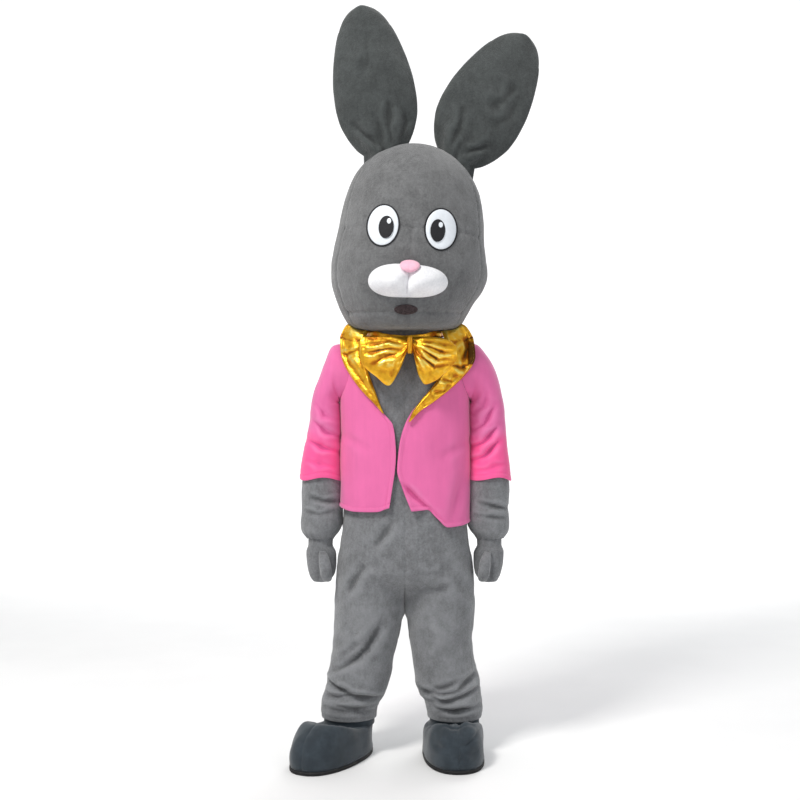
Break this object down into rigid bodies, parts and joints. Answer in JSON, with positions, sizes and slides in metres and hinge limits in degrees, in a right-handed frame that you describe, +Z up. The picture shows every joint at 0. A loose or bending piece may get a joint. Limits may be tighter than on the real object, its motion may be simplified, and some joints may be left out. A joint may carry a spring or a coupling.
{
  "type": "rabbit mascot costume",
  "caption": "Full-body rabbit mascot costume in grey plush with a big padded head, tall ears, pink jacket, gold lapels and bow tie, mittens and padded shoes, shown as worn",
  "frame": {"origin": "the middle of the wearer's neck at shoulder height, 1.40 m above the underside of the soles", "axes": "+X to the wearer's left, -Y to the front, +Z up to the ear tips"},
  "size_m": [0.7973, 0.5516, 2.4312],
  "materials": {
    "grey_plush": "short grey plush, nap brushed down",
    "head_plush": "dark grey plush over foam, matt",
    "ear_plush": "charcoal short plush, matt",
    "pink_velboa": "smooth pink velboa, soft sheen",
    "gold_lame": "metallic gold foil cloth, glossy and creased",
    "white_fleece": "white fleece over foam, matt",
    "pink_fleece": "pale pink fleece over foam, matt",
    "black_felt": "black felt, slightly glossy",
    "eye_white": "pale painted see-through sheet, satin",
    "mouth_mesh": "open black mesh, matt",
    "shoe_cloth": "dark blue-grey short plush over foam",
    "shoe_sole": "black flat sole sheet, matt"
  },
  "bodies": {
    "root": {"bow_band": "gold_lame", "bow_knot": "gold_lame", "bow_loop_left": "gold_lame", "bow_loop_right": "gold_lame", "collar": "gold_lame", "ear_back_left": "ear_plush", "ear_back_right": "ear_plush", "ear_front_left": "ear_plush", "ear_front_right": "ear_plush", "eye_rim_left": "black_felt", "eye_rim_right": "black_felt", "eye_white_left": "eye_white", "eye_white_right": "eye_white", "glint_left": "eye_white", "glint_right": "eye_white", "head_back_left": "head_plush", "head_back_right": "head_plush", "head_cheek_left": "head_plush", "head_cheek_right": "head_plush", "head_chin": "head_plush", "head_forehead": "head_plush", "jacket_back": "pink_velboa", "jacket_front_left": "pink_velboa", "jacket_front_right": "pink_velboa", "jacket_sleeve_left": "pink_velboa", "jacket_sleeve_right": "pink_velboa", "lapel_left": "gold_lame", "lapel_right": "gold_lame", "mitten_hand_left": "grey_plush", "mitten_hand_right": "grey_plush", "mitten_thumb_left": "grey_plush", "mitten_thumb_right": "grey_plush", "mouth_mesh": "mouth_mesh", "muzzle": "white_fleece", "nose": "pink_fleece", "pupil_left": "black_felt", "pupil_right": "black_felt", "shoe_inner_left": "shoe_cloth", "shoe_inner_right": "shoe_cloth", "shoe_outer_left": "shoe_cloth", "shoe_outer_right": "shoe_cloth", "shoe_sole_left": "shoe_sole", "shoe_sole_right": "shoe_sole", "suit_back_left": "grey_plush", "suit_back_right": "grey_plush", "suit_front_left": "grey_plush", "suit_front_right": "grey_plush", "suit_sleeve_left": "grey_plush", "suit_sleeve_right": "grey_plush"}
  },
  "joints": []
}
